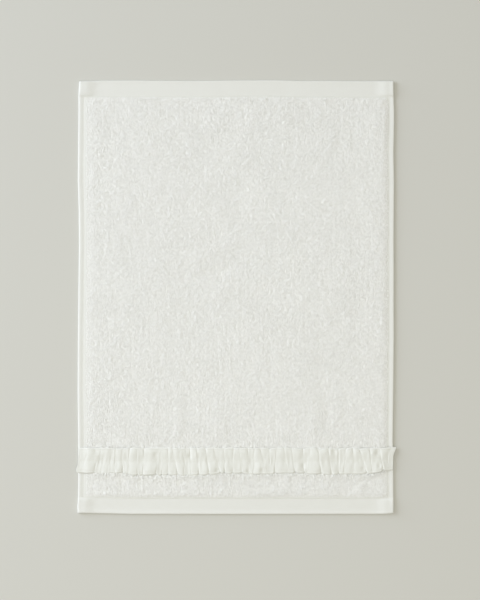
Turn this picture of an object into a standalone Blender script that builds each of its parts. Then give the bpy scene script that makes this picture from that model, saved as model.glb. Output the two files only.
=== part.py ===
"""Hand towel: a flat terry towel with smooth hems and a gathered frill near its lower end.

Two pieces of cloth. The towel is one sheet: a field of pile, a narrow stitched hem down each
side and a wide woven hem at each end, with a thick square where two hems fold over each other.
The frill is a thin strip, gathered along its middle and sewn across the towel, with both of
its long edges free and standing in uneven folds.

Metres, +Z up, +Y towards the plain end. The origin is on the surface the towel lies on, under
the middle of its bounding box. Every size below is in millimetres.
"""

from collections import namedtuple

import bmesh
import bpy
import numpy as np

MM = 0.001

# The towel as cut and hemmed
TOWEL_WIDTH = 500.0
TOWEL_LENGTH = 687.0
PILE_HEIGHT = 4.6
HEM_HEIGHT = 3.2
SIDE_STITCH = 8.0  # from the edge to the stitch line
END_STITCH = 25.5
CORNER_EXTRA = 1.5  # the side hem runs on inside the end hem
CORNER_SLOPE = (8.0, 29.0)  # where its thickness begins and ends to fade
BORDER_HEIGHT = 1.2  # where the folded edge turns under
EDGE_TURN = 1.8  # how far in the folded edge is rounded

# The frill
SEAM_Y = -258.8
FRILL_THICKNESS = 0.8
FRILL_END = 25.0  # the stretch at each end that lies smoother
FRILL_CLEARANCE = 0.3
FRILL_REACH = 20.5  # from the seam to either free edge
SEAM_PRESS = 1.6  # how far the seam draws the pile down
SEAM_PRESS_WIDTH = 12.0
SEAM_ROWS = (-2.2, -1.5, -1.0, -0.5, 0.0, 0.5, 1.0, 1.5, 2.2)  # across the drawn-in pile, in its widths
FRILL_END_DROP = 1.2

FIELD_STEP = 16.5  # how far apart the surface points of the pile field are

# Colours of the undyed cotton
TERRY_COLOR = (0.80, 0.79, 0.74)
FRILL_COLOR = (0.82, 0.80, 0.73)

# Section across a side hem: distance in from the edge, height
HemPoint = namedtuple("HemPoint", "inset height")
SIDE_HEM = (
    HemPoint(0.0, 3.2),
    HemPoint(EDGE_TURN, 3.3),
    HemPoint(6.0, HEM_HEIGHT),
    HemPoint(SIDE_STITCH, 2.5),
    HemPoint(10.0, HEM_HEIGHT),
    HemPoint(12.5, 4.2),
    HemPoint(17.0, PILE_HEIGHT),
)

# Section across an end hem
END_HEM = (
    HemPoint(0.0, 3.0),
    HemPoint(EDGE_TURN, 3.2),
    HemPoint(5.0, 2.9),
    HemPoint(14.0, 3.0),
    HemPoint(23.5, 2.9),
    HemPoint(END_STITCH, 2.5),
    HemPoint(28.0, 3.9),
    HemPoint(33.0, PILE_HEIGHT),
)

# How far each side edge stands out from a straight one, down the towel's length
SidePoint = namedtuple("SidePoint", "y left right")
SIDE_EDGES = (
    SidePoint(343.0, -1.8, -0.4),
    SidePoint(331.0, -0.8, -0.2),
    SidePoint(318.0, -0.1, 0.0),
    SidePoint(296.0, -0.2, 1.0),
    SidePoint(262.0, 0.1, 0.7),
    SidePoint(233.0, 0.4, -0.1),
    SidePoint(185.0, 0.8, 0.7),
    SidePoint(137.0, -0.6, 0.4),
    SidePoint(90.0, -1.0, 0.1),
    SidePoint(42.0, -0.4, 0.4),
    SidePoint(-10.0, 0.1, 0.2),
    SidePoint(-60.0, 0.7, 0.5),
    SidePoint(-148.0, 1.2, -0.3),
    SidePoint(-228.0, 0.2, -1.3),
    SidePoint(-291.0, 0.2, -0.4),
    SidePoint(-323.0, 0.7, -0.2),
    SidePoint(-333.0, 1.7, -0.3),
    SidePoint(-343.0, 1.0, -0.4),
)

# The same for the two end edges, across the towel's width
EndPoint = namedtuple("EndPoint", "x top bottom")
END_EDGES = (
    EndPoint(-250.0, -1.3, -1.6),
    EndPoint(-228.0, -0.9, -1.1),
    EndPoint(-215.0, -0.2, -0.8),
    EndPoint(-165.0, 0.0, 0.4),
    EndPoint(-88.0, -0.6, 0.4),
    EndPoint(-41.0, -0.5, 0.5),
    EndPoint(8.0, 0.2, 0.5),
    EndPoint(55.0, 0.4, 0.5),
    EndPoint(105.0, -0.7, 0.4),
    EndPoint(150.0, -0.6, 0.4),
    EndPoint(200.0, -1.2, 0.3),
    EndPoint(222.0, -0.9, 0.5),
    EndPoint(238.0, -1.1, -0.1),
    EndPoint(250.0, -1.3, -1.4),
)

# Soft troughs and ridges of the pile field: place, half length, half width, turn, height
Ripple = namedtuple("Ripple", "x y reach width turn height")
RIPPLES = (
    Ripple(186, 262, 62, 20, 111, -0.9),
    Ripple(76, 272, 30, 12, 90, 0.5),
    Ripple(114, 291, 18, 14, 90, -0.4),
    Ripple(-24, 77, 36, 12, 23, 0.6),
    Ripple(-40, 38, 48, 12, 12, -0.7),
    Ripple(-32, 5, 52, 13, 15, 0.5),
    Ripple(106, -5, 32, 10, 48, 0.4),
    Ripple(146, -37, 26, 10, 113, 0.4),
    Ripple(56, -108, 20, 9, 90, -0.5),
    Ripple(-92, -202, 30, 10, 92, 0.5),
    Ripple(-75, -186, 24, 10, 92, -0.4),
    Ripple(124, -196, 36, 11, 88, 0.5),
    Ripple(147, -191, 24, 10, 88, -0.5),
    Ripple(-178, -214, 18, 10, 100, 0.4),
    Ripple(-225, -298, 18, 9, 90, -0.5),
    Ripple(-166, -298, 16, 9, 90, 0.4),
    Ripple(82, -298, 16, 10, 90, 0.4),
    Ripple(193, -298, 16, 10, 90, 0.4),
)

# The creases between the frill's folds, from its left end on: place at the seam, how much further
# right the lower end is than the upper one, and how deep each half is, as a share of the fold
Crease = namedtuple("Crease", "x slant upper lower")
CREASES = (
    Crease(-250.0, 0.0, 0.3, 0.3),
    Crease(-238.5, -5.0, 0.2, 0.2),
    Crease(-221.5, -5.0, 0.4, 0.8),
    Crease(-212.5, -4.0, 0.1, 0.3),
    Crease(-200.0, -6.0, 0.2, 0.4),
    Crease(-191.0, -2.0, 0.6, 0.5),
    Crease(-179.5, 0.0, 0.5, 1.0),
    Crease(-169.0, -3.0, 0.6, 0.4),
    Crease(-155.5, 6.0, 0.3, 0.6),
    Crease(-145.5, -2.0, 0.6, 0.5),
    Crease(-124.0, 2.0, 0.6, 0.9),
    Crease(-116.5, -3.0, 0.1, 0.4),
    Crease(-106.5, 0.0, 0.6, 0.8),
    Crease(-96.0, 9.0, 0.4, 0.8),
    Crease(-84.0, 12.0, 0.3, 0.5),
    Crease(-77.0, 3.0, 0.4, 0.1),
    Crease(-70.5, 2.0, 0.7, 0.4),
    Crease(-59.5, 3.0, 0.6, 0.7),
    Crease(-44.5, 6.0, 0.5, 0.7),
    Crease(-30.0, 9.0, 0.5, 1.0),
    Crease(-17.5, 0.0, 0.3, 0.8),
    Crease(-3.5, 0.0, 0.6, 0.7),
    Crease(8.0, 6.0, 0.2, 0.5),
    Crease(20.0, 2.0, 0.8, 0.4),
    Crease(29.5, -2.0, 0.5, 0.5),
    Crease(42.5, 5.0, 0.5, 0.4),
    Crease(54.0, 0.0, 0.5, 0.4),
    Crease(64.0, -3.0, 0.5, 0.6),
    Crease(79.0, 6.0, 0.4, 0.3),
    Crease(92.0, 6.0, 0.4, 0.7),
    Crease(107.0, 3.0, 0.9, 1.0),
    Crease(116.5, -3.0, 0.4, 0.2),
    Crease(133.0, 6.0, 0.5, 0.8),
    Crease(149.0, 6.0, 0.5, 0.8),
    Crease(160.5, 8.0, 0.9, 0.6),
    Crease(173.5, -3.0, 0.8, 0.6),
    Crease(186.5, 3.0, 0.7, 0.2),
    Crease(201.0, 10.0, 0.5, 1.0),
    Crease(215.0, 3.0, 0.7, 0.4),
    Crease(227.5, 9.0, 0.8, 0.9),
    Crease(241.0, 0.0, 0.1, 0.2),
    Crease(248.4, 0.0, 0.3, 0.3),
)
FOLD_RISE = 0.165  # a fold's height as a share of its width
FOLD_LOW, FOLD_HIGH = 1.25, 2.5
CREASE_SHARPNESS = 3.5
CREASE_DEPTH = 0.5  # the deepest crease at the seam, as a share of its fold's height
EDGE_CREASE_DEPTH = 0.8  # and at the free edges

# Section along one fold, from crease to crease
FOLD_STEPS = (0.0, 0.1, 0.26, 0.5, 0.74, 0.9)

# Section across the frill: share of its reach, share of the fold's height
AcrossPoint = namedtuple("AcrossPoint", "share rise")
FRILL_ACROSS = (
    AcrossPoint(-1.0, 0.1),
    AcrossPoint(-0.9, 0.7),
    AcrossPoint(-0.7, 0.97),
    AcrossPoint(-0.45, 0.94),
    AcrossPoint(-0.22, 0.75),
    AcrossPoint(0.0, 0.6),
    AcrossPoint(0.22, 0.75),
    AcrossPoint(0.45, 0.96),
    AcrossPoint(0.68, 1.0),
    AcrossPoint(0.86, 0.7),
    AcrossPoint(1.0, 0.1),
)

# How much further than its reach each free edge goes
FreeEdge = namedtuple("FreeEdge", "x upper lower")
FREE_EDGES = (
    FreeEdge(-250.0, 0.4, -0.2),
    FreeEdge(-180.0, 0.0, 0.0),
    FreeEdge(-165.0, 0.3, 2.9),
    FreeEdge(-119.0, 0.2, 3.6),
    FreeEdge(-45.0, 0.4, 2.6),
    FreeEdge(-25.0, 0.2, 0.4),
    FreeEdge(48.0, 0.6, 1.4),
    FreeEdge(80.0, 0.0, -0.8),
    FreeEdge(148.0, -0.4, 2.4),
    FreeEdge(175.0, 0.2, 1.0),
    FreeEdge(212.0, 0.0, 1.2),
    FreeEdge(228.0, 0.6, -1.0),
    FreeEdge(236.0, 1.0, -4.0),
    FreeEdge(250.0, 1.6, -6.5),
)

# The lower left and the upper right corner flare out past the towel, each as a bell across the strip
Flare = namedtuple("Flare", "share width reach")
LEFT_FLARE = Flare(-0.72, 0.3, 3.5)
RIGHT_FLARE = Flare(1.0, 0.45, 5.4)

# Deep creases also draw the free edges in, the upper edge less than the lower one
UPPER_NOTCH, LOWER_NOTCH = 1.0, 2.8
NOTCH_DEPTH = (0.4, 0.9)  # the crease depths at which this begins and is full


def column(rows, name):
    """One named column of a table, as an array."""
    return np.array([getattr(row, name) for row in rows], float)


def read_at(rows, key, name, where):
    """A table's column read at any place between its rows."""
    keys = column(rows, key)
    order = np.argsort(keys)
    return np.interp(where, keys[order], column(rows, name)[order])


def hem_stations(size, hem, step, extra=()):
    """Places across the towel: a hem's at either edge, even ones between them, and the extra ones."""
    edge = size / 2 - column(hem, "inset")
    count = round(2 * edge[-1] / step)
    field = np.linspace(-edge[-1], edge[-1], count + 1)[1:-1]
    apart = [place for place in field if all(abs(place - row) > step / 3 for row in extra)]
    return np.sort(np.concatenate([-edge, apart, extra, edge]))


def outline(x, y):
    """Moves points of a straight rectangle so that its edges run as unevenly as the cloth's."""
    share_x = x / TOWEL_WIDTH + 0.5
    share_y = y / TOWEL_LENGTH + 0.5
    left = read_at(SIDE_EDGES, "y", "left", y)
    right = read_at(SIDE_EDGES, "y", "right", y)
    top = read_at(END_EDGES, "x", "top", x)
    bottom = read_at(END_EDGES, "x", "bottom", x)
    return (
        x - left * (1 - share_x) + right * share_x,
        y + top * share_y - bottom * (1 - share_y),
    )


def ripple_height(x, y):
    """Sum of the soft troughs and ridges, each a stretched and turned bell."""
    total = np.zeros_like(x)
    for ripple in RIPPLES:
        turn = np.radians(ripple.turn)
        along = (x - ripple.x) * np.cos(turn) + (y - ripple.y) * np.sin(turn)
        across = (y - ripple.y) * np.cos(turn) - (x - ripple.x) * np.sin(turn)
        bell = np.exp(-((along / ripple.reach) ** 2) - (across / ripple.width) ** 2)
        total += ripple.height * bell
    return total


def towel_height(x, y):
    """Height of the towel's upper side over a straight rectangle."""
    side = TOWEL_WIDTH / 2 - np.abs(x)
    end = TOWEL_LENGTH / 2 - np.abs(y)
    on_side = np.interp(side, column(SIDE_HEM, "inset"), column(SIDE_HEM, "height"))
    on_end = np.interp(end, column(END_HEM, "inset"), column(END_HEM, "height"))
    height = np.minimum(on_side, on_end)

    # The corner squares are thicker and have no stitch groove
    square = np.interp(side, CORNER_SLOPE, (1, 0))
    square *= np.interp(end, (END_STITCH - 2, END_STITCH), (1, 0))
    height = np.where(end < END_STITCH, on_end + CORNER_EXTRA * square, height)

    # The pile is uneven, and the seam draws it down
    pile = np.clip((height - HEM_HEIGHT) / (PILE_HEIGHT - HEM_HEIGHT), 0, 1)
    seam = np.exp(-(((y - SEAM_Y) / SEAM_PRESS_WIDTH) ** 2))
    height = height + pile * (ripple_height(x, y) - SEAM_PRESS * seam)

    # Folded edges turn down to the border
    turned = np.interp(np.minimum(side, end), (0.0, EDGE_TURN), (0.0, 1.0))
    return BORDER_HEIGHT + (height - BORDER_HEIGHT) * turned


def frill_rest(x, share, y):
    """Height the frill's upper side rests at between its folds."""
    side = TOWEL_WIDTH / 2 - np.abs(x)
    off_pile = np.interp(side, (SIDE_STITCH, SIDE_HEM[-1].inset), (1, 0))
    pressed = SEAM_PRESS * np.exp(-((share * FRILL_REACH / SEAM_PRESS_WIDTH) ** 2))
    rest = PILE_HEIGHT + FRILL_CLEARANCE + FRILL_THICKNESS
    rest = rest - pressed * (1 - off_pile) - FRILL_END_DROP * off_pile
    return rest + np.clip(ripple_height(x, y), 0, None)


def frill_points(count, share):
    """The frill's upper side: rounded folds between creases, highest near the free edges.

    count runs along the strip, one for each fold; share runs across it, from -1 at the lower
    free edge to 1 at the upper one.
    """
    number = np.arange(len(CREASES))
    seam_x = column(CREASES, "x")
    x = np.interp(count, number, seam_x)
    x = x - share * np.interp(count, number, column(CREASES, "slant")) / 2

    # Each point takes the depth of its nearest crease
    nearest = np.rint(count).astype(int)
    upper, lower = column(CREASES, "upper")[nearest], column(CREASES, "lower")[nearest]
    depth = (upper * (1 + share) + lower * (1 - share)) / 2
    near = np.abs(2 * (count % 1) - 1) ** CREASE_SHARPNESS

    further = np.where(
        share > 0,
        read_at(FREE_EDGES, "x", "upper", x),
        read_at(FREE_EDGES, "x", "lower", x),
    )
    notch = np.where(share > 0, UPPER_NOTCH, LOWER_NOTCH) * near
    notch = notch * np.interp(depth, NOTCH_DEPTH, (0, 1))
    y = SEAM_Y + share * (FRILL_REACH + further - notch)

    # Wide folds stand higher than narrow ones
    lifts = np.clip(FOLD_RISE * np.diff(seam_x), FOLD_LOW, FOLD_HIGH)
    lift = np.interp(count, number[:-1] + 0.5, lifts)
    rise = read_at(FRILL_ACROSS, "share", "rise", share)
    deepest = CREASE_DEPTH + (EDGE_CREASE_DEPTH - CREASE_DEPTH) * np.abs(share) ** 3
    z = frill_rest(x, share, y) + lift * rise * (1 - deepest * depth * near)

    # Two opposite corners of the strip reach past the towel
    at_end = np.clip((np.abs(x) - (TOWEL_WIDTH / 2 - FRILL_END)) / FRILL_END, 0, 1)
    flares = [
        flare.reach * np.exp(-(((share - flare.share) / flare.width) ** 2))
        for flare in (LEFT_FLARE, RIGHT_FLARE)
    ]
    return x + at_end * np.where(x < 0, -flares[0], flares[1]), y, z


def grid_mesh(columns, rows):
    """An open grid of faces, with each vertex's column and row."""
    bm = bmesh.new()
    bmesh.ops.create_grid(bm, x_segments=columns - 1, y_segments=rows - 1, size=1.0)
    unit = np.array([vert.co[:2] for vert in bm.verts]) / 2 + 0.5
    column_index = np.rint(unit[:, 0] * (columns - 1)).astype(int)
    row_index = np.rint(unit[:, 1] * (rows - 1)).astype(int)
    return bm, column_index, row_index


def place_vertices(bm, x, y, z):
    for vert, point in zip(bm.verts, np.stack([x, y, z], 1) * MM):
        vert.co = point


def add_object(name, bm, collection, material):
    """Puts a finished mesh into the scene as a smooth-shaded object."""
    mesh = bpy.data.meshes.new(name)
    bm.to_mesh(mesh)
    bm.free()
    mesh.shade_smooth()
    mesh.materials.append(material)
    obj = bpy.data.objects.new(name, mesh)
    collection.objects.link(obj)
    return obj


def cotton(name, color, roughness):
    material = bpy.data.materials.new(name)
    material.use_nodes = True
    shader = material.node_tree.nodes["Principled BSDF"]
    shader.inputs["Base Color"].default_value = (*color, 1.0)
    shader.inputs["Roughness"].default_value = roughness
    shader.inputs["Metallic"].default_value = 0.0
    return material


def make_towel(collection):
    """The terry sheet with its hems: an upper side with relief on a flat underside."""
    seam_rows = SEAM_Y + SEAM_PRESS_WIDTH * np.array(SEAM_ROWS)
    across = hem_stations(TOWEL_WIDTH, SIDE_HEM, FIELD_STEP)
    along = hem_stations(TOWEL_LENGTH, END_HEM, FIELD_STEP, extra=seam_rows)
    bm, column_index, row_index = grid_mesh(len(across), len(along))
    x, y = across[column_index], along[row_index]
    z = towel_height(x, y)
    place_vertices(bm, *outline(x, y), z)

    border = [edge for edge in bm.edges if edge.is_boundary]
    walls = bmesh.ops.extrude_edge_only(bm, edges=border)["geom"]
    for vert in (item for item in walls if isinstance(item, bmesh.types.BMVert)):
        vert.co.z = 0.0
    bmesh.ops.holes_fill(bm, edges=[edge for edge in bm.edges if edge.is_boundary], sides=0)
    bmesh.ops.recalc_face_normals(bm, faces=bm.faces)
    return add_object("towel", bm, collection, cotton("terry_cotton", TERRY_COLOR, 0.95))


def make_frill(collection):
    """The gathered strip: one folded surface, thickened downwards."""
    folds = len(CREASES) - 1
    counts = np.append((np.arange(folds)[:, None] + np.array(FOLD_STEPS)).ravel(), folds)
    shares = column(FRILL_ACROSS, "share")
    bm, column_index, row_index = grid_mesh(len(counts), len(shares))
    place_vertices(bm, *frill_points(counts[column_index], shares[row_index]))
    frill = add_object("frill", bm, collection, cotton("frill_cotton", FRILL_COLOR, 0.9))
    thickness = frill.modifiers.new("thickness", "SOLIDIFY")
    thickness.thickness = FRILL_THICKNESS * MM
    thickness.offset = -1.0
    return frill


def main():
    for obj in list(bpy.data.objects):
        bpy.data.objects.remove(obj, do_unlink=True)
    collection = bpy.data.collections.new("hand_towel")
    bpy.context.scene.collection.children.link(collection)
    make_towel(collection)
    make_frill(collection)


main()
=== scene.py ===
# Hand towel: the looks of a flat terry towel with woven hems and a gathered frill.
# Sizes in the dictionaries are in millimetres; mm turns them into metres.

import bpy
import numpy as np
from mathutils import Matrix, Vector


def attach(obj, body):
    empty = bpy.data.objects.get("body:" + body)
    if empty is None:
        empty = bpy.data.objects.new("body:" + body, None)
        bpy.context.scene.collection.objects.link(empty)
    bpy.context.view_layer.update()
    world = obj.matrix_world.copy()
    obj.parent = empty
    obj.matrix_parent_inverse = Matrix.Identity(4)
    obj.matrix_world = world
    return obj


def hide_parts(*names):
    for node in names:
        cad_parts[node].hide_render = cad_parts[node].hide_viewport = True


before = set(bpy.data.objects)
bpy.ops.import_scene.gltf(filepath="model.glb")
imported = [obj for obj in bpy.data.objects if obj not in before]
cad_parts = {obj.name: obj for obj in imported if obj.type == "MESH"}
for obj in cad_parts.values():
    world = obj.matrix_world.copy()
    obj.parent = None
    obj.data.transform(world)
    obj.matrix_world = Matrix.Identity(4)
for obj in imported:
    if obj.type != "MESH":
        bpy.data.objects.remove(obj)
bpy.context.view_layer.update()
mm = 0.001
print("frame loaded")

# Camera and light.

view = {
    "above": 2400.0,  # the camera stands this high over the towel
    "middle": (6.2, -4.5),  # what lies in the middle of the picture
    "takesIn": 951.6,  # how much of the ground shows from top to bottom
    "sensor": 36.0,
    "farthest": 20000.0,  # nothing beyond this shows
}

light = {
    "keyTurn": 159.0,  # degrees round from +X: from the left, a little from the top
    "keyHeight": 21.5,  # degrees above the ground
    "keyAway": 4500.0,
    "keySide": 3200.0,
    "keyPower": 169.0,
    "keyColor": (0.895, 0.965, 1.12),
    "topPlace": (0.0, -700.0, 2600.0),
    "topSide": 2800.0,
    "topPower": 27.5,
    "fillColor": (1.03, 1.0, 0.905),
    "skyStrength": 0.428,
}


def addCamera():
    lens = view["sensor"] * view["above"] / view["takesIn"]
    data = bpy.data.cameras.new("camera")
    data.sensor_width = view["sensor"]
    data.lens = lens
    data.clip_end = view["farthest"] * mm
    camera = bpy.data.objects.new("camera", data)
    camera.location = Vector((*view["middle"], view["above"])) * mm
    bpy.context.scene.collection.objects.link(camera)
    bpy.context.scene.camera = camera


def addLamp(name, place, toward, side, power, color):
    # a square soft lamp; toward points from what it lights to the lamp
    data = bpy.data.lights.new(name, "AREA")
    data.size = side * mm
    data.energy = power
    data.color = color
    lamp = bpy.data.objects.new(name, data)
    lamp.location = place * mm
    lamp.rotation_euler = toward.to_track_quat("Z", "Y").to_euler()
    bpy.context.scene.collection.objects.link(lamp)


def addLight():
    # a low lamp from the left, a fill lamp straight above and an even sky
    turn, height = np.radians(light["keyTurn"]), np.radians(light["keyHeight"])
    left = Vector((np.cos(turn) * np.cos(height), np.sin(turn) * np.cos(height), np.sin(height)))
    addLamp(
        "keyLight", left * light["keyAway"], left, light["keySide"], light["keyPower"], light["keyColor"]
    )
    above = Vector((0, 0, 1))
    addLamp(
        "topLight", Vector(light["topPlace"]), above, light["topSide"], light["topPower"],
        light["fillColor"],
    )

    world = bpy.data.worlds.new("studio")
    world.use_nodes = True
    sky = world.node_tree.nodes["Background"]
    sky.inputs["Color"].default_value = (*light["fillColor"], 1.0)
    sky.inputs["Strength"].default_value = light["skyStrength"]
    bpy.context.scene.world = world
    bpy.context.scene.view_settings.view_transform = "Standard"


addCamera()
addLight()
print("camera and light placed")

# Shader maths.


class Wire:
    # holds one output socket; sums and products with it add Math nodes

    def __init__(self, tree, socket=None):
        self.tree = tree
        self.socket = socket

    def node(self, kind, settings, inputs, output=0):
        # one node: its settings first, then a value or a wire for each named input
        made = self.tree.nodes.new(kind)
        for name, value in settings.items():
            setattr(made, name, value)
        for name, value in inputs.items():
            if isinstance(value, Wire):
                self.tree.links.new(value.socket, made.inputs[name])
            else:
                made.inputs[name].default_value = value
        return Wire(self.tree, made.outputs[output])

    def maths(self, operation, *values):
        return self.node("ShaderNodeMath", {"operation": operation}, dict(enumerate(values)))

    def __add__(self, other):
        return self.maths("ADD", self, other)

    def __sub__(self, other):
        return self.maths("SUBTRACT", self, other)

    def __rsub__(self, other):
        return self.maths("SUBTRACT", other, self)

    def __mul__(self, other):
        return self.maths("MULTIPLY", self, other)

    __radd__ = __add__
    __rmul__ = __mul__

    def sine(self):
        return self.maths("SINE", self)

    def mixed(self, low, high):
        # a colour between two others, by this wire
        return self.node("ShaderNodeMix", {"data_type": "RGBA"}, {0: self, 6: low, 7: high}, 2)

    def noise(self, place, scale, detail=2.0):
        return self.node(
            "ShaderNodeTexNoise", {}, {"Vector": place, "Scale": scale, "Detail": detail}
        )


def clothMaterial(name, look, build):
    # a Principled shader: fixed values on its own sockets, and build() for what changes over the cloth
    material = bpy.data.materials.new(name)
    material.use_nodes = True
    tree = material.node_tree
    shader = tree.nodes["Principled BSDF"]
    shader.inputs["Roughness"].default_value = look["roughness"]
    shader.inputs["Specular IOR Level"].default_value = look["shine"]
    wire = Wire(tree)
    color, height, depth = build(wire, look)
    bump = wire.node(
        "ShaderNodeBump", {}, {"Strength": look["bump"], "Distance": depth * mm, "Height": height}
    )
    tree.links.new(color.socket, shader.inputs["Base Color"])
    tree.links.new(bump.socket, shader.inputs["Normal"])
    return material


def plainWeave(wire, place, pitch):
    # over and under: the product of two sines, one across the threads and one along them
    parts = wire.node("ShaderNodeSeparateXYZ", {}, {"Vector": place})
    across = Wire(wire.tree, parts.socket.node.outputs[0]) * (np.pi / (pitch * mm))
    along = Wire(wire.tree, parts.socket.node.outputs[1]) * (np.pi / (pitch * mm))
    return across.sine() * along.sine()


# Shared shapes.

bake = {
    "rim": 0.002,  # bare rim of a sheet's map
    "tileRim": 0.08,  # of a small tube's tile in its map, as a share of the tile
    "cap": 0.2,  # share of the tile that either end of the tube takes
}


def lumps(x, y, size, seed):
    # value noise from -1 to 1: seeded random heights on a square lattice, eased between its corners
    count = 512
    heights = np.random.default_rng(seed).uniform(-1, 1, (count, count))
    u, v = x / size + count / 2, y / size + count / 2
    i, j = np.floor(u).astype(int), np.floor(v).astype(int)
    u, v = u - i, v - j
    u, v = u * u * (3 - 2 * u), v * v * (3 - 2 * v)
    i, j, iNext, jNext = i % count, j % count, (i + 1) % count, (j + 1) % count
    low = heights[i, j] * (1 - u) + heights[iNext, j] * u
    high = heights[i, jNext] * (1 - u) + heights[iNext, jNext] * u
    return low * (1 - v) + high * v


def easeStep(value, start, end):
    # 0 before start and 1 after end, eased between them
    share = np.clip((value - start) / (end - start), 0, 1)
    return share * share * (3 - 2 * share)


def unit(vectors):
    return vectors / np.linalg.norm(vectors, axis=-1, keepdims=True)


def quads(index):
    # the four corners of each cell of a grid of point numbers, anticlockwise from above
    corners = [index[:-1, :-1], index[:-1, 1:], index[1:, 1:], index[1:, :-1]]
    return np.stack(corners, -1).reshape(-1, 4)


def addPiece(name, points, faces, material, maps=None, marks=None, normals=None):
    # points in millimetres; faces as arrays of corners; maps are corner coordinates, marks point
    # values, normals the directions that shade the points
    corners = np.concatenate([part.ravel() for part in faces])
    counts = np.concatenate([np.full(len(part), part.shape[1]) for part in faces])
    mesh = bpy.data.meshes.new(name)
    mesh.vertices.add(len(points))
    mesh.vertices.foreach_set("co", (points * mm).ravel().astype(np.float32))
    mesh.loops.add(len(corners))
    mesh.loops.foreach_set("vertex_index", corners.astype(np.int32))
    mesh.polygons.add(len(counts))
    starts = np.concatenate([[0], np.cumsum(counts)[:-1]])
    mesh.polygons.foreach_set("loop_start", starts.astype(np.int32))
    mesh.update(calc_edges=True)
    for label, values in (maps or {}).items():
        layer = mesh.uv_layers.new(name=label)
        layer.uv.foreach_set("vector", values.ravel().astype(np.float32))
    for label, values in (marks or {}).items():
        layer = mesh.attributes.new(label, "FLOAT", "POINT")
        layer.data.foreach_set("value", values.ravel().astype(np.float32))
    mesh.shade_smooth()
    if normals is not None:
        mesh.normals_split_custom_set_from_vertices(normals.astype(np.float32))
    mesh.materials.append(material)
    piece = bpy.data.objects.new(name, mesh)
    bpy.context.scene.collection.objects.link(piece)
    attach(piece, "root")
    return piece


def closedSheet(upper, lower):
    # two grids of points that share their rim; also gives the grid cell corner of every face corner
    rows, columns = upper.shape[:2]
    inside = np.zeros((rows, columns), bool)
    inside[1:-1, 1:-1] = True
    above = np.arange(rows * columns).reshape(rows, columns)
    below = above.copy()
    below[inside] = rows * columns + np.arange(inside.sum())
    points = np.concatenate([upper.reshape(-1, 3), lower[inside]])
    faces = [quads(above), quads(below)[:, ::-1]]
    cells = np.stack([quads(above), quads(above)[:, ::-1]])
    return points, faces, cells, inside


def bakeMap(across, along, cells):
    # the upper side on the left half of the map, the lower side on the right half
    flat = np.stack([across / 2, along], -1).reshape(-1, 2)
    corners = flat[cells]
    corners[1, ..., 0] += 0.5
    return corners.reshape(-1, 2) * (1 - 2 * bake["rim"]) + bake["rim"]


def littleTubes(lines, radii, sides, ups, around, fuzz):
    # many short closed tubes: a point at either end of each line, and at its other points a ring
    # whose points lie at even angles round it, radius * (side * cos + up * sin), a flat side up.
    # A fuzzy tube is shaded more evenly: its outward directions are tipped up by the fuzz
    count, steps = lines.shape[:2]
    rings = steps - 2
    angle = np.pi / 2 + 2 * np.pi * (np.arange(around) + 0.5) / around
    spoke = (
        sides[:, None, None] * np.cos(angle)[:, None] + ups[:, None, None] * np.sin(angle)[:, None]
    )
    ring = lines[:, 1:-1, None] + radii[:, :, None, None] * spoke
    points = np.concatenate([lines[:, :1], ring.reshape(count, -1, 3), lines[:, -1:]], 1)
    outward = np.concatenate(
        [
            unit(lines[:, :1] - lines[:, 1:2]),
            np.repeat(spoke[:, None], rings, 1).reshape(count, -1, 3),
            unit(lines[:, -1:] - lines[:, -2:-1]),
        ],
        1,
    )
    normals = unit(outward + fuzz * ups[:, None]).reshape(-1, 3)

    start = 1 + around * np.arange(rings)[:, None] + np.arange(around)
    after = 1 + around * np.arange(rings)[:, None] + (np.arange(around) + 1) % around
    last = 1 + around * rings
    firstCap = np.stack([np.zeros(around, int), after[0], start[0]], 1)
    lastCap = np.stack([np.full(around, last), start[-1], after[-1]], 1)
    wall = np.stack([start[:-1], after[:-1], after[1:], start[1:]], -1).reshape(-1, 4)
    shift = (np.arange(count) * (last + 1))[:, None, None]
    faces = [
        (np.concatenate([firstCap, lastCap]) + shift).reshape(-1, 3),
        (wall + shift).reshape(-1, 4),
    ]

    # each tube has a square of the map of its own: along it one way, round it the other
    side = int(np.ceil(np.sqrt(count)))
    turns = np.arange(around)
    low, high = bake["cap"], 1 - bake["cap"]
    capMap = [[[(n + 0.5) / around, 0], [(n + 1) / around, low], [n / around, low]] for n in turns]
    endMap = [[[(n + 0.5) / around, 1], [n / around, high], [(n + 1) / around, high]] for n in turns]
    rise = low + (1 - 2 * bake["cap"]) * np.arange(rings) / max(rings - 1, 1)
    wallMap = [
        [[n / around, low], [(n + 1) / around, low], [(n + 1) / around, high], [n / around, high]]
        for low, high in zip(rise[:-1], rise[1:])
        for n in turns
    ]
    rim = bake["tileRim"]
    cell = np.stack([np.arange(count) % side, np.arange(count) // side], 1)[:, None, None]
    tiles = [
        ((cell + rim + (1 - 2 * rim) * np.array(part, float)) / side).reshape(-1, 2)
        for part in (capMap + endMap, wallMap)
    ]
    return points.reshape(-1, 3), faces, np.concatenate(tiles), normals


# The towel.

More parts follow.
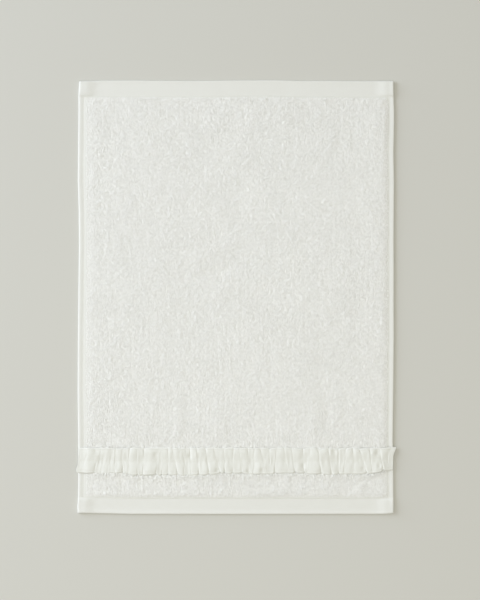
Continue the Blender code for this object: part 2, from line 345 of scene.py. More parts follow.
towel = {
    "width": 500.0,
    "length": 687.0,
    "ground": 3.2,  # the hems
    "pileLift": 0.4,  # how much higher the pile's ground is
    "sideStitch": 8.0,  # from the edge to the stitch line
    "endStitch": 25.5,
    "grooveDepth": (0.45, 0.22, 0.12),  # of the left and the right side and of the ends
    "grooveWidth": 2.1,
    "hemSwell": (0.4, 2.0, 8.0),  # height, and between which distances from the edge it falls
    "edgeRound": (3.0, 1.5, 1.8),  # of the left and the right side and of the ends
    "leftPile": (12.2, 25.0),  # where the pile begins, and where it has its full height
    "rightPile": (9.0, 18.5),
    "endPile": (25.7, 32.0),
    "cornerExtra": 1.5,  # the side hem runs on inside the end hem
    "cornerSlope": (11.0, 30.0),
    "cornerEnd": 3.0,  # it ends over this length before the end hem's stitch line
    "endFold": (0.3, 2.0, 5.0),  # how much lower an end hem is inside its edge, and where it sinks
    "step": 4.6,  # between the points of the pile field
    # how far from the edge the points of the hems are
    "sideStations": (
        0, 0.2, 0.5, 1.0, 1.6, 2.4, 3.6, 5.4, 6.6, 7.3, 8.0, 8.7, 9.4, 10.4, 12.0, 14.0, 17.0, 20.0, 24.0,
    ),
    "endStations": (
        0, 0.2, 0.5, 1.0, 1.6, 2.4, 3.6, 5.4, 9.0, 13.0, 17.0, 21.0, 23.6, 24.8, 25.5, 26.2, 27.2,
        29.0, 32.0,
    ),
    # y, how far the left and the right edge stand out from straight ones
    "sideEdges": (
        (343, -1.8, -0.4), (331, -0.8, -0.2), (318, -0.1, 0.0), (296, -0.2, 1.0), (262, 0.1, 0.7),
        (233, 0.4, -0.1), (185, 0.8, 0.7), (137, -0.6, 0.4), (90, -1.0, 0.1), (42, -0.4, 0.4),
        (-10, 0.1, 0.2), (-60, 0.7, 0.5), (-148, 1.2, -0.3), (-228, 0.2, -1.3), (-291, 0.2, -0.4),
        (-323, 0.7, -0.2), (-333, 1.7, -0.3), (-343, 1.0, -0.4),
    ),
    # x, the same for the top and the bottom edge
    "endEdges": (
        (-250, -1.3, -1.6), (-228, -0.9, -1.1), (-215, -0.2, -0.8), (-165, 0.0, 0.4), (-88, -0.6, 0.4),
        (-41, -0.5, 0.5), (8, 0.2, 0.5), (55, 0.4, 0.5), (105, -0.7, 0.4), (150, -0.6, 0.4),
        (200, -1.2, 0.3), (222, -0.9, 0.5), (238, -1.1, -0.1), (250, -1.3, -1.4),
    ),
    # soft troughs and ridges: x, y, half length, half width, turn in degrees, height
    "ripples": (
        (185, 267, 60, 20, 111, -1.0), (164, 262, 40, 7, 95, -0.4), (76, 272, 30, 9, 90, 0.5),
        (114, 291, 18, 12, 90, -0.5), (-24, 77, 36, 9, 23, 0.6), (-40, 38, 48, 9, 12, -0.7),
        (-32, 5, 52, 11, 15, 0.5), (-92, 53, 10, 8, 0, 0.4), (106, -5, 32, 6, 48, 0.4),
        (146, -37, 26, 8, 113, 0.4), (55, -110, 20, 4, 90, -0.5), (68, -94, 14, 6, 90, 0.4),
        (-92, -203, 30, 7, 92, 0.5), (-75, -184, 24, 7, 92, -0.5), (123, -196, 36, 8, 88, 0.5),
        (146, -191, 24, 8, 88, -0.5), (-178, -216, 18, 8, 100, 0.4), (-227, -298, 18, 8, 90, -0.5),
        (-183, -298, 16, 6, 90, -0.3), (-166, -298, 16, 7, 90, 0.4), (-21, -298, 14, 6, 90, 0.4),
        (82, -298, 16, 8, 90, 0.4), (193, -298, 16, 8, 90, 0.4),
    ),
    "unevenness": ((70, 0.35, 3), (28, 0.2, 4), (11, 0.12, 5)),  # size, height, seed
    "hemUneven": 0.35,  # share of it that the hems have
    "underside": (9, 0.35, 11),  # size, height and seed of its lumps
    "seamY": -258.8,
    "seamPress": 1.6,
    "seamWidth": 8.0,
    "bulge": 0.85,  # height of the swelling below the frill
    "bulgePlaces": (-3.0, 1.0, 11.0),  # past the frill's edge: where it rises, is full and has gone
}


def outline(x, y):
    # moves a straight rectangle's points so that its edges run as unevenly as the cloth's
    sides = np.array(towel["sideEdges"])[::-1]
    ends = np.array(towel["endEdges"])
    left = np.interp(y, sides[:, 0], sides[:, 1])
    right = np.interp(y, sides[:, 0], sides[:, 2])
    top = np.interp(x, ends[:, 0], ends[:, 1])
    bottom = np.interp(x, ends[:, 0], ends[:, 2])
    shareX = x / towel["width"] + 0.5
    shareY = y / towel["length"] + 0.5
    return x - left * (1 - shareX) + right * shareX, y + top * shareY - bottom * (1 - shareY)


def insets(x, y):
    return towel["width"] / 2 - np.abs(x), towel["length"] / 2 - np.abs(y)


def edgeNear(x, y):
    # 1 on the edge, 0 from where its rounding starts
    side, end = insets(x, y)
    left, right, ends = towel["edgeRound"]
    return np.clip(1 - np.minimum(side / np.where(x < 0, left, right), end / ends), 0, 1)


def pileShare(x, y):
    # 0 on the hems, 1 in the field, eased where the pile begins
    side, end = insets(x, y)
    sides = np.where(x < 0, easeStep(side, *towel["leftPile"]), easeStep(side, *towel["rightPile"]))
    return sides * easeStep(end, *towel["endPile"])


def ripples(x, y):
    # the sum of stretched and turned bells
    total = np.zeros_like(x)
    for px, py, reach, width, turn, height in towel["ripples"]:
        turn = np.radians(turn)
        along = (x - px) * np.cos(turn) + (y - py) * np.sin(turn)
        across = (y - py) * np.cos(turn) - (x - px) * np.sin(turn)
        total = total + height * np.exp(-((along / reach) ** 2) - (across / width) ** 2)
    return total


def bulge(past):
    # at the frill's lower edge the cloth swells up, and slopes away again beyond it
    start, full, gone = towel["bulgePlaces"]
    return easeStep(past, start, full) * (1 - easeStep(past, full, gone))


def groundTop(x, y):
    # height of the cloth under the pile and of the hems, over a straight rectangle: the hems' height,
    # plus the pile's lift, ripples, lumps and bulge, less the seam's press and the stitch grooves
    side, end = insets(x, y)
    hemUneven = towel["hemUneven"]
    pile = pileShare(x, y)
    height = towel["ground"] + pile * (towel["pileLift"] + ripples(x, y))
    for size, rise, seed in towel["unevenness"]:
        height = height + rise * (hemUneven + (1 - hemUneven) * pile) * lumps(x, y, size, seed)
    height = height - pile * towel["seamPress"] * np.exp(
        -(((y - towel["seamY"]) / towel["seamWidth"]) ** 2)
    )
    height = height + pile * towel["bulge"] * bulge(towel["seamY"] - frillReach(x, False) - y)

    # the stitch grooves, the thicker corners and the end hems' raised fold
    onEnd = end < towel["endStitch"]
    sideGroove = np.exp(-(((side - towel["sideStitch"]) / towel["grooveWidth"]) ** 2))
    endGroove = np.exp(-(((end - towel["endStitch"]) / towel["grooveWidth"]) ** 2))
    left, right, ends = towel["grooveDepth"]
    sideGroove = sideGroove * np.where(x < 0, left, right)
    height = height - np.maximum(np.where(onEnd, 0, sideGroove), ends * endGroove)
    corner = 1 - easeStep(side, *towel["cornerSlope"])
    corner = corner * (1 - easeStep(end, towel["endStitch"] - towel["cornerEnd"], towel["endStitch"]))
    height = height + towel["cornerExtra"] * corner
    fold, *places = towel["endFold"]
    height = height - fold * (1 - corner) * easeStep(end, *places) * onEnd

    # the right and the bottom hem swell towards their edges
    nearest = np.minimum(np.where(x > 0, side, np.inf), np.where(y < 0, end, np.inf))
    height = height + towel["hemSwell"][0] * (1 - easeStep(nearest, *towel["hemSwell"][1:]))

    # the folded edges: a quarter of an ellipse down to half the height
    near = edgeNear(x, y)
    return height * (0.5 + 0.5 * np.sqrt(1 - near * near))


def groundBottom(x, y):
    # the underside: down to the floor near the edge, and softly lumpy further in
    near = edgeNear(x, y)
    size, rise, seed = towel["underside"]
    soft = rise + rise * lumps(x, y, size, seed)
    return towel["ground"] / 2 * (1 - np.sqrt(1 - near * near)) + pileShare(x, y) * soft


def stations(size, edge, step):
    # places across the towel: the given distances in from either edge, and even steps between them
    edge = size / 2 - np.array(edge, float)
    field = np.linspace(-edge[-1], edge[-1], int(round(2 * edge[-1] / step)) + 1)
    return np.concatenate([-edge[:-1], field, edge[:-1][::-1]])


terryLook = {
    "color": (0.982, 0.992, 0.969),
    # shade is painted shade: the colour given to the shaded pits between the loops
    "shade": (0.903, 0.913, 0.888),
    "speckle": 4.5,  # size of the painted shade: noise spots that stand for the shade in the pits between the loops
    "speckleRange": (0.3, 0.7),  # the noise values that give the painted shade and the full colour
    "hem": (0.812, 0.822, 0.785),
    "roughness": 0.95,
    "shine": 0.15,
    "bump": 0.5,
    "yarn": 0.7,  # size of the yarn's fuzz
    "weave": 0.55,  # pitch of the hems' threads
    "weaveShare": (0.25, 0.5),  # their relief, and its middle height
    "relief": 0.5,  # how deep the bumps of the hems and of the cloth under the pile are
    "loopRelief": 0.25,  # and those of the loops
}


def withPaintedPitShade(place, look):
    # the pile's color with painted shade: noise spots darkened to stand for the shade in the small pits
    # between the loops
    low, high = look["speckleRange"]
    noise = place.noise(place, 1 / (look["speckle"] * mm), 1.0)
    share = (noise - low) * (1 / (high - low))
    return share.mixed((*look["shade"], 1), (*look["color"], 1))


def terrySurface(wire, look):
    place = wire.node("ShaderNodeTexCoord", {}, {}, 3)
    pile = wire.node("ShaderNodeAttribute", {"attribute_name": "pile"}, {}, 2)
    # the cloth under the loops gets the same painted shade of the pits between them
    color = withPaintedPitShade(place, look)
    color = pile.mixed((*look["hem"], 1), color)
    fuzz = place.noise(place, 1 / (look["yarn"] * mm), 3.0)
    weave = plainWeave(wire, place, look["weave"])
    rise, middle = look["weaveShare"]
    height = fuzz * pile + (weave * rise + middle) * (1 - pile)
    return color, height, look["relief"]


def makeTowel(material):
    across = stations(towel["width"], towel["sideStations"], towel["step"])
    along = stations(towel["length"], towel["endStations"], towel["step"])
    x, y = np.meshgrid(across, along)
    seenX, seenY = outline(x, y)
    upper = np.stack([seenX, seenY, groundTop(x, y)], -1)
    lower = np.stack([seenX, seenY, groundBottom(x, y)], -1)
    points, faces, cells, inside = closedSheet(upper, lower)
    pile = pileShare(x, y)
    marks = {"pile": np.concatenate([pile.ravel(), pile[inside]])}
    maps = {"OFBake": bakeMap(x / towel["width"] + 0.5, y / towel["length"] + 0.5, cells)}
    piece = addPiece("terryCloth", points, faces, material, maps, marks)
    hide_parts("towel")
    return piece


# The pile's loops.

pile = {
    "pitchX": 2.02,  # between the warp rows
    "pitchY": 2.3,
    "margin": (0.5, 1.8),  # bare rim at the sides and at the ends
    "jitter": (0.3, 0.45),  # share of the pitch
    "span": (4.2, 5.6),
    "height": (0.85, 1.4),
    "yarn": (0.74, 0.92),  # radius
    "bends": (-0.5, -0.2, 0.2, 0.5),  # where its ends and bends are, as shares of the span
    "rises": (0.6, 1.0),  # how high the bends are, as a share of the height
    "uneven": ((7, 0.18, 21), (23, 0.12, 22)),  # of the height: size, share, seed
    "tufts": (4.2, 3.2, 0.275),  # width, length and height of the clumps that loops make
    "tuftSeed": 23,
    "ruffled": 1.15,  # how much more they stand out between the frill and the hem
    "ruffledSlope": 4.0,  # how far either side of the frill's edge this changes
    "probe": 1.0,  # how far to either side the slope under a loop is measured
    "sunk": 0.25,
    # what a clump shares, what each loop adds, and the clumps' seed
    "turn": (13.0, 19.0, 24),  # degrees either side of the towel's length
    "lean": (0.2, 0.4, 25),  # sideways, as a share of the height
    "nod": (0.2, 0.1, 26),  # forwards, in the same way
    "swing": 0.6,  # how far both ends swing to one side
    "bands": 4,
    "underFrill": 12.5,  # none this near to the seam
    "hemGrowth": 0.4,  # share of the height that loops have beside a hem
    "least": (0.5, 0.6),  # shares of the span and of the yarn that the lowest loops keep
    "pressed": 0.55,  # height under the frill
    "frillNear": (-6.0, -2.0),  # how far past its free edge they are still pressed, and are free
    "collar": (0.55, 1.2, 1.5),  # how much taller they are past its edges, how far past, over which width
    "around": 3,  # points round the yarn
    "fuzz": 2.0,
    "seed": 7,
}


def pileSurface(wire, look):
    place = wire.node("ShaderNodeTexCoord", {}, {}, 3)
    fuzz = place.noise(place, 1 / (look["yarn"] * mm), 2.0)
    # the loops' colour carries the painted shade of the pits between them
    return withPaintedPitShade(place, look), fuzz, look["loopRelief"]


def tufts(x, y, seed):
    width, length = pile["tufts"][:2]
    return lumps(x, y * width / length, width, seed)


def pileBase(x, y):
    # the cloth, raised and sunk by the clumps, and more so below the frill
    slope = pile["ruffledSlope"]
    below = easeStep(towel["seamY"] - y, frill["reach"] - slope, frill["reach"] + slope)
    height = pile["tufts"][2] * (1 + (pile["ruffled"] - 1) * below)
    return groundTop(x, y) + height * pileShare(x, y) * tufts(x, y, pile["tuftSeed"])


def makePile(material):
    # each loop is an arch on the cloth: up from an end sunk in it, over two bends and down again. A
    # point is foot + along * (span * share + lift * nod) + across * (lift * lean + swing) + up * lift,
    # where only the ends swing, to one side, lift is the height times the point's rise, less half the
    # yarn, and a leaning loop's lift is a little less. up is the cloth's own upright there
    rng = np.random.default_rng(pile["seed"])
    columns = np.arange(-towel["width"] / 2, towel["width"] / 2, pile["pitchX"])
    rows = np.arange(-towel["length"] / 2, towel["length"] / 2, pile["pitchY"])
    x, y = np.meshgrid(columns, rows)
    y = y + pile["pitchY"] / 2 * (np.arange(len(columns)) % 2)
    x = x + pile["pitchX"] * pile["jitter"][0] * rng.uniform(-1, 1, x.shape)
    y = y + pile["pitchY"] * pile["jitter"][1] * rng.uniform(-1, 1, y.shape)
    side, end = insets(x, y)
    starts = np.where(x < 0, towel["leftPile"][0], towel["rightPile"][0])
    stands = side > starts + pile["margin"][0]
    stands &= end > towel["endPile"][0] + pile["margin"][1]
    stands &= np.abs(y - towel["seamY"]) > pile["underFrill"]
    x, y = x[stands], y[stands]
    count = len(x)

    def clumped(amounts):
        # part of it is the same for neighbouring loops
        shared, own, seed = amounts
        return shared * tufts(x, y, seed) + own * rng.normal(0, 1, count)

    grown = pile["hemGrowth"] + (1 - pile["hemGrowth"]) * pileShare(x, y)
    past = np.abs(y - towel["seamY"]) - frillReach(x, y > towel["seamY"])
    frillNear = 1 - easeStep(past, *pile["frillNear"])
    grown = grown * (1 - (1 - pile["pressed"]) * frillNear)
    taller, middle, width = pile["collar"]
    grown = grown + taller * np.exp(-(((past - middle) / width) ** 2))
    size = 1
    for reach, share, seed in pile["uneven"]:
        size = size + share * lumps(x, y, reach, seed)
    leastSpan, leastYarn = pile["least"]
    height = rng.uniform(*pile["height"], count) * size * grown
    span = rng.uniform(*pile["span"], count) * (leastSpan + (1 - leastSpan) * np.clip(grown, 0, 1))
    radius = rng.uniform(*pile["yarn"], count) * (leastYarn + (1 - leastYarn) * grown)
    turn = np.radians(90 + clumped(pile["turn"]))
    lean = clumped(pile["lean"])
    nod = clumped(pile["nod"])

    # the slope it stands on gives each loop its upright
    probe = pile["probe"]
    slopeX = (pileBase(x + probe, y) - pileBase(x - probe, y)) / (2 * probe)
    slopeY = (pileBase(x, y + probe) - pileBase(x, y - probe)) / (2 * probe)
    up = unit(np.stack([-slopeX, -slopeY, np.ones(count)], 1))
    along = np.stack([np.cos(turn), np.sin(turn), np.zeros(count)], 1)
    along = unit(along - up * (along * up).sum(1, keepdims=True))
    across = np.cross(up, along)
    foot = np.stack([*outline(x, y), pileBase(x, y)], 1)

    lines = np.empty((count, 4, 3))
    swing = rng.normal(0, pile["swing"], count)
    rises = (0, rng.uniform(*pile["rises"], count), rng.uniform(*pile["rises"], count), 0)
    for step, (share, rise) in enumerate(zip(pile["bends"], rises)):
        lift = height * rise - radius / 2 if 0 < step < 3 else np.full(count, -pile["sunk"])
        aside = np.clip(lift, 0, None)
        lines[:, step] = (
            foot
            + along * (span * share + aside * nod)[:, None]
            + across * (aside * lean + swing * (step in (0, 3)))[:, None]
            + up * (lift / np.sqrt(1 + 0.5 * lean * lean * (lift > 0)))[:, None]
        )
    radii = np.stack([radius, radius], 1)

    # cut into bands along the towel, so that no piece has too many faces
    order = np.argsort(y, kind="stable")
    pieces = []
    for number, chosen in enumerate(np.array_split(order, pile["bands"])):
        points, faces, tiles, normals = littleTubes(
            lines[chosen], radii[chosen], across[chosen], up[chosen], pile["around"], pile["fuzz"]
        )
        name = f"terryPile{number + 1}"
        piece = addPiece(name, points, faces, material, {"OFBake": tiles}, None, normals)
        pieces.append(piece)
    print("pile loops:", count)
    return pieces


# The frill.

frill = {
    "reach": 20.5,  # from the seam to either free edge
    "thickness": 0.45,
    "rest": 4.95,  # height of the upper side between the folds
    "seamPress": 0.55,
    "seamWidth": 7.0,
    "endDrop": 1.0,
    "end": 25.0,
    "flares": ((-0.72, 0.3, 3.5), (1.0, 0.45, 5.4)),  # left and right: share, width, reach
    "hem": 3.4,  # the narrow turned hem along both free edges
    "hemExtra": 0.25,
    "hemSlope": (0.5, 0.3),  # it thins from this far outside its line to this far inside
    "hemLine": (0.15, 0.4),  # depth and width of its stitch line
    "hemSteps": (0, 0.06, 0.2, 0.45, 0.7, 0.88, 0.95),  # its rows of points, as shares of it
    "riseShare": 0.165,  # a fold's height as a share of its width
    "riseLow": 1.25,
    "riseHigh": 2.5,
    "sharpness": (6.0, 3.0),  # of a crease, at the seam and at the free edges
    "creasing": (0.27, 0.95),  # its depth there, as a share of the fold's height
    "depthNoise": 0.3,  # how unevenly deep a crease is along its length
    "waver": 0.5,  # how far creases bend aside
    "liftNoise": 0.22,  # how unlike the folds' heights are
    "wrinkles": 0.2,
    "crown": 0.12,  # how much a fold's middle stands over its shoulders
    "tilt": 0.3,  # how unlike a fold's two shoulders are
    "tiltSeed": 9,
    "puckers": 0.35,
    "puckerReach": (1.2, 9.0),  # how far from the seam they begin, and how far they run
    "ribs": 0.12,
    "notch": (1.0, 2.8),  # how far the upper and the lower edge draw in at a deep crease
    "notchDepth": (0.4, 0.9),  # from which crease depth on, and where it is full
    "ragged": 1.0,  # how unevenly the folds reach out
    # the noise behind each of these: how often along the strip, its slant, how often across it, where
    # it starts, size, seed
    "noises": {
        "waver": (0.9, 0, 1.8, 50, 1.0, 34),
        "depthNoise": (5.0, 0, 3, 20, 1.0, 33),
        "ragged": (1.3, 0, 9.0, 0, 1.0, 37),
        "liftNoise": (0.95, 0, 1.3, 90, 1.0, 35),
        "puckers": (10, 0, 4, 40, 2.1, 31),
        "wrinkles": (1, 0, 10, 0, 4.5, 32),
        "ribs": (12, 3, 2.5, 70, 2.3, 36),
    },
    "offPile": (8.0, 17.0),  # from the side edge: where it lies on the hem, and where on the pile
    "steps": (0, 0.03, 0.06, 0.10, 0.16, 0.25, 0.37, 0.5, 0.63, 0.75, 0.84, 0.90, 0.94, 0.97),
    "rows": 41,
    # share across, share of the fold's height
    "across": (
        (-1.0, 0.1), (-0.9, 0.7), (-0.7, 0.97), (-0.45, 0.94), (-0.22, 0.84), (0.0, 0.75),
        (0.22, 0.84), (0.45, 0.96), (0.68, 1.0), (0.86, 0.7), (1.0, 0.1),
    ),
    # x, how much further the upper and the lower free edge reach
    "edges": (
        (-250, 0.4, -0.2), (-180, 0.0, 0.0), (-165, 0.3, 2.9), (-119, 0.2, 3.6), (-45, 0.4, 2.6),
        (-25, 0.2, 0.4), (48, 0.6, 1.4), (80, 0.0, -0.8), (148, -0.4, 2.4), (175, 0.2, 1.0),
        (212, 0.0, 1.2), (228, 0.6, -1.0), (236, 1.0, -4.0), (250, 1.6, -6.5),
    ),
    # creases: x at the seam, how much further right the lower end is, depth above and below the seam
    "creases": (
        (-250.0, 0, 0.3, 0.3), (-238.5, -5, 0.2, 0.2), (-220.5, -9, 0.25, 0.5), (-212.5, -4, 0.1, 0.3),
        (-200.8, -6, 0.1, 0.4), (-191.5, -2, 0.6, 0.5), (-179.5, 0, 0.35, 1.0), (-169.8, -3, 0.9, 0.25),
        (-156.3, 1, 0.1, 0.8), (-146.7, -2, 0.9, 0.5), (-124.0, -5, 0.45, 1.0), (-116.5, -3, 0.1, 0.7),
        (-107.3, 0, 0.9, 1.1), (-96.8, 9, 0.4, 1.5), (-84.0, 5, 0.25, 0.45), (-78.5, 4, 0.5, 0.1),
        (-72.5, 2, 0.9, 0.3), (-60.4, 3, 0.4, 1.0), (-45.8, 6, 0.9, 0.9), (-30.4, 11, 0.4, 1.0),
        (-18.3, 0, 0.3, 1.0), (-5.0, -2, 0.6, 0.7), (7.0, 4, 0.35, 0.9), (20.0, 2, 0.8, 0.4),
        (27.8, -3, 0.5, 0.5), (42.6, 9, 0.6, 0.35), (52.6, 0, 0.7, 0.3), (62.5, -3, 0.5, 0.9),
        (79.4, 8, 0.4, 0.3), (90.1, 6, 0.4, 0.7), (107.0, 3, 1.1, 1.0), (116.0, -3, 0.4, 0.2),
        (132.3, 6, 0.5, 1.0), (148.5, 6, 0.6, 1.1), (162.2, 1, 0.9, 0.9), (172.3, -3, 0.8, 0.45),
        (186.5, 3, 0.7, 0.1), (200.8, 13, 0.5, 1.2), (213.4, 4, 0.8, 0.6), (229.8, 7, 0.7, 1.1),
        (241.0, 0, 0.0, 0.1), (248.4, 0, 0.3, 0.3),
    ),
    "pinchStretch": 1.5,  # how much longer than wide a pinch is
    # places where a fold is pinched: x, y, radius, depth
    "pinches": (
        (-222.5, -243.2, 3.0, 1.0), (-127.0, -249.6, 2.6, 1.4), (-73.1, -251.1, 3.0, 1.8),
        (155.3, -245.0, 3.2, 1.8), (223.5, -246.4, 3.0, 1.6), (-222.0, -270.0, 6.0, 1.3),
        (-30.3, -274.9, 2.6, 1.6), (41.1, -274.9, 2.6, 1.6), (106.1, -267.0, 2.8, 1.6),
        (201.3, -271.8, 2.6, 1.4), (226.6, -267.0, 2.6, 1.4), (18.9, -274.9, 2.4, 1.2),
    ),
}


def frillReach(x, above):
    # how far a free edge is from the seam, above it or below
    edges = np.array(frill["edges"])
    upper, lower = np.interp(x, edges[:, 0], edges[:, 1]), np.interp(x, edges[:, 0], edges[:, 2])
    return frill["reach"] + np.where(above, upper, lower)


def stripNoise(name, count, share):
    often, slant, across, start, size, seed = frill["noises"][name]
    return lumps(count * often - share * slant, share * across + start, size, seed)


def frillPoints(count, share):
    # count runs along the strip, one for each fold; share runs across it, from -1 to 1. x is the
    # crease's place less half its slant times share, y the seam's plus share times the reach, less
    # the notch. z is the rest height plus lift * rise * (1 - creasing * depth * near), where near is
    # |2 * fraction - 1| to the sharpness, plus the tilt and crown, the noise, the pinches and the hem
    creases = np.array(frill["creases"])
    number = np.arange(len(creases))
    x = np.interp(count, number, creases[:, 0])
    x = x - share * np.interp(count, number, creases[:, 1]) / 2
    inner = np.clip(np.minimum(count, number[-1] - count), 0, 1)
    x = x + frill["waver"] * inner * stripNoise("waver", count, share)

    nearest = np.rint(count).astype(int)
    upper, lower = creases[nearest, 2], creases[nearest, 3]
    depth = (upper * (1 + share) + lower * (1 - share)) / 2
    depth = depth * (1 + frill["depthNoise"] * stripNoise("depthNoise", nearest, share))
    place = 2 * (count % 1) - 1
    outer = np.abs(share) ** 3
    (seamSharp, edgeSharp), (seamDeep, edgeDeep) = frill["sharpness"], frill["creasing"]
    near = np.abs(place) ** (seamSharp * (1 - outer) + edgeSharp * outer)
    creasing = seamDeep * (1 - outer) + edgeDeep * outer
    fold = np.minimum(count.astype(int), len(creases) - 2)
    rng = np.random.default_rng(frill["tiltSeed"])
    tilt = frill["tilt"] * rng.uniform(-1, 1, len(creases))[fold]

    drawn = easeStep(depth, *frill["notchDepth"]) * np.where(share > 0, *frill["notch"])
    drawn = drawn * np.abs(place) ** 3
    ragged = frill["ragged"] * outer * stripNoise("ragged", count, np.sign(share))
    y = towel["seamY"] + share * (frillReach(x, share > 0) - drawn + ragged)

    widths = np.diff(creases[:, 0])
    lifts = np.clip(frill["riseShare"] * widths, frill["riseLow"], frill["riseHigh"])
    lift = np.interp(count, number[:-1] + 0.5, lifts)
    lift = lift * (1 + frill["liftNoise"] * stripNoise("liftNoise", count, share))
    section = np.array(frill["across"])
    rise = np.interp(share, section[:, 0], section[:, 1])

    side = towel["width"] / 2 - np.abs(x)
    offPile = 1 - easeStep(side, *frill["offPile"])
    pressed = frill["seamPress"] * np.exp(-((share * frill["reach"] / frill["seamWidth"]) ** 2))
    z = frill["rest"] - pressed * (1 - offPile) - frill["endDrop"] * offPile
    z = z + np.clip(ripples(x, y), 0, None) + lift * rise * (1 - creasing * depth * near)
    z = z + (1 - near) * (tilt * place / 2 - frill["crown"] * place * place) * depth

    # small puckers run out from the seam
    out = np.abs(share) * frill["reach"]
    begin, run = frill["puckerReach"]
    fade = np.exp(-((out / run) ** 2)) * (1 - np.exp(-((out / begin) ** 2)))
    z = z + frill["puckers"] * fade * stripNoise("puckers", count, share)
    z = z + frill["wrinkles"] * stripNoise("wrinkles", x, share)
    z = z + frill["ribs"] * stripNoise("ribs", count, share)
    for px, py, radius, deep in frill["pinches"]:
        tall = frill["pinchStretch"] * radius
        z = z - deep * np.exp(-(((x - px) / radius) ** 2) - ((y - py) / tall) ** 2)

    # the turned hem is a little thicker, behind a fine stitch line
    fromEdge = (1 - np.abs(share)) * frill["reach"]
    outside, inside = frill["hemSlope"]
    z = z + frill["hemExtra"] * (1 - easeStep(fromEdge, frill["hem"] - outside, frill["hem"] + inside))
    deep, width = frill["hemLine"]
    z = z - deep * np.exp(-(((fromEdge - frill["hem"]) / width) ** 2))

    # two opposite corners of the strip flare out past the towel, each as a bell across it
    atEnd = np.clip((np.abs(x) - (towel["width"] / 2 - frill["end"])) / frill["end"], 0, 1)
    left, right = (
        reach * np.exp(-(((share - middle) / width) ** 2)) for middle, width, reach in frill["flares"]
    )
    x = x + atEnd * np.where(x < 0, -left, right)
    return np.stack([x, y, z], -1)


frillLook = {
    "color": (0.822, 0.834, 0.792),
    "shade": (0.802, 0.814, 0.770),
    "roughness": 0.9,
    "shine": 0.2,
    "bump": 0.5,
    "weave": 0.45,
    "clouds": (60.0, 700.0),  # the two scales of the soft colour changes, per metre
    "crumple": 420.0,  # scale of the fine crumples
    "shares": (0.2, 0.8),  # of the weave and of the crumples in the bumps
    "relief": 0.35,
}


def frillSurface(wire, look):
    place = wire.node("ShaderNodeTexCoord", {}, {}, 3)
    flat = wire.node("ShaderNodeUVMap", {"uv_map": "clothFlat"}, {})
    wide, fine = look["clouds"]
    cloudy = place.noise(place, wide) * 0.5 + place.noise(place, fine) * 0.5
    color = cloudy.mixed((*look["shade"], 1), (*look["color"], 1))
    weave = plainWeave(wire, flat, look["weave"])
    crumple = place.noise(place, look["crumple"], 3.0)
    woven, crumpled = look["shares"]
    return color, weave * woven + crumple * crumpled, look["relief"]


def shellNormals(points):
    # the upright of a grid of points, from its neighbours' differences
    return unit(np.cross(np.gradient(points, axis=1), np.gradient(points, axis=0)))


def makeFrill(material):
    # the folded surface, and the same surface again a cloth's thickness under it
    folds = len(frill["creases"]) - 1
    counts = np.append((np.arange(folds)[:, None] + np.array(frill["steps"])).ravel(), folds)
    edge = frill["hem"] / frill["reach"]
    band = edge * np.array(frill["hemSteps"])
    inner = np.linspace(-1 + edge, 1 - edge, frill["rows"] - 2 * len(band))
    shares = np.concatenate([-1 + band, inner, 1 - band[::-1]])
    count, share = np.meshgrid(counts, shares)
    upper = frillPoints(count, share)
    turned = shellNormals(upper)
    lower = upper - frill["thickness"] * turned
    middle = (upper + lower) / 2
    rim = np.ones(count.shape, bool)
    rim[1:-1, 1:-1] = False
    upper[rim] = middle[rim]
    points, faces, cells, inside = closedSheet(upper, lower)

    # the distances along the strip, averaged over its rows, and those across it size the weave
    step = np.linalg.norm(np.diff(upper, axis=1), axis=-1).mean(0)
    along = np.concatenate([[0], np.cumsum(step)])
    flat = np.stack(np.broadcast_arrays(along, share * frill["reach"]), -1).reshape(-1, 2) * mm
    maps = {
        "clothFlat": flat[cells].reshape(-1, 2),
        "OFBake": bakeMap(share / 2 + 0.5, count / folds, cells),
    }
    print("frill strip, flat:", round(along[-1]), "mm")
    piece = addPiece("frillCloth", points, faces, material, maps)
    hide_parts("frill")
    return piece, along[-1]


# Sewing.

sewing = {
    "pitch": 3.4,
    "length": 2.7,
    "thread": 0.33,  # radius
    "sunk": 0.3,
    "places": (-0.5, -0.3, 0.0, 0.3, 0.5),  # a stitch's points, as shares of its length
    "heights": (-2.2, 0.1, 0.5, 0.1, -2.2),  # above the cloth there, in depths sunk
    "swell": (0.9, 1.0, 0.9),  # of the thread at its three inner points
    "around": 4,
    "hemInset": 1.5,  # from the side edge to the first stitch of an end hem
    "seamInset": 2.0,  # and to the first one of the frill's seam
    "color": (0.85, 0.85, 0.79),
    "shade": (0.81, 0.81, 0.75),
    "roughness": 0.7,
    "shine": 0.3,
    "bump": 0.4,
    "twist": 2500.0,  # scale of the yarn's twist, per metre
    "relief": 0.1,
}


def threadSurface(wire, look):
    place = wire.node("ShaderNodeTexCoord", {}, {}, 3)
    spun = place.noise(place, look["twist"], 1.0)
    return spun.mixed((*look["shade"], 1), (*look["color"], 1)), spun, look["relief"]


def stitchRun(start, end, heightAt):
    # one line of stitches: each dips into the cloth at both ends and swells between
    run = np.array(end, float) - start
    length = np.linalg.norm(run)
    places = np.arange(sewing["pitch"] / 2, length, sewing["pitch"])
    offset = np.array(sewing["places"]) * sewing["length"]
    along = (places[:, None] + offset)[..., None] * run / length + start
    height = heightAt(along[..., 0], along[..., 1])
    sink = np.array(sewing["heights"]) * sewing["sunk"]
    seen = np.stack([*outline(along[..., 0], along[..., 1]), height + sink], -1)
    sides = unit(np.cross((0, 0, 1), seen[:, -1] - seen[:, 0]))
    return seen, sides


def sew(name, runs, material):
    lines = np.concatenate([run[0] for run in runs])
    sides = np.concatenate([run[1] for run in runs])
    radii = np.tile(sewing["thread"] * np.array(sewing["swell"]), (len(lines), 1))
    ups = np.tile((0.0, 0.0, 1.0), (len(lines), 1))
    points, faces, tiles, normals = littleTubes(lines, radii, sides, ups, sewing["around"], 0.0)
    piece = addPiece(name, points, faces, material, {"OFBake": tiles}, None, normals)
    return piece


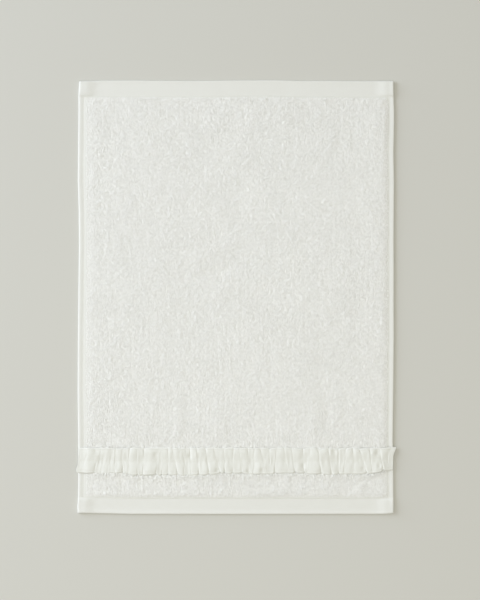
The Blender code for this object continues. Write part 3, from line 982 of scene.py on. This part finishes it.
def hemRuns():
    sideX = towel["width"] / 2 - towel["sideStitch"]
    sideY = towel["length"] / 2 - towel["endStitch"]
    endX = towel["width"] / 2 - sewing["hemInset"]
    sides = [stitchRun((x, -sideY), (x, sideY), groundTop) for x in (-sideX, sideX)]
    ends = [stitchRun((-endX, y), (endX, y), groundTop) for y in (-sideY, sideY)]
    return sides + ends


def seamHeight(x, y):
    # the frill's height on its middle line; y is always the seam's
    creases = np.array(frill["creases"])
    count = np.interp(x, creases[:, 0], np.arange(len(creases)))
    return frillPoints(count, np.zeros_like(count))[..., 2]


def seamRun():
    seamX = towel["width"] / 2 - sewing["seamInset"]
    return stitchRun((-seamX, towel["seamY"]), (seamX, towel["seamY"]), seamHeight)


# Making it all.

terry = clothMaterial("terryCotton", terryLook, terrySurface)
loops = clothMaterial("terryLoops", terryLook, pileSurface)
muslin = clothMaterial("frillCotton", frillLook, frillSurface)
thread = clothMaterial("sewingThread", sewing, threadSurface)
print("materials made")

terryCloth = makeTowel(terry)
print("towel made")
pileBands = makePile(loops)
print("pile made")
frillCloth, frillLength = makeFrill(muslin)
print("frill made")
hemStitching = sew("hemStitching", hemRuns(), thread)

frillStitching = sew("frillStitching", [seamRun()], thread)
print("sewing made")

# The ground it lies on.

ground = {"side": 24000.0, "color": (0.637, 0.637, 0.594), "roughness": 0.9, "shine": 0.1}


def makeGround():
    half = ground["side"] / 2
    corners = np.array([[-half, -half, 0], [half, -half, 0], [half, half, 0], [-half, half, 0]])
    mesh = bpy.data.meshes.new("floor")
    mesh.from_pydata((corners * mm).tolist(), [], [(0, 1, 2, 3)])
    material = bpy.data.materials.new("floor")
    material.use_nodes = True
    shader = material.node_tree.nodes["Principled BSDF"]
    shader.inputs["Base Color"].default_value = (*ground["color"], 1.0)
    shader.inputs["Roughness"].default_value = ground["roughness"]
    shader.inputs["Specular IOR Level"].default_value = ground["shine"]
    mesh.materials.append(material)
    floor = bpy.data.objects.new("floor", mesh)
    bpy.context.scene.collection.objects.link(floor)


makeGround()
print("floor laid")
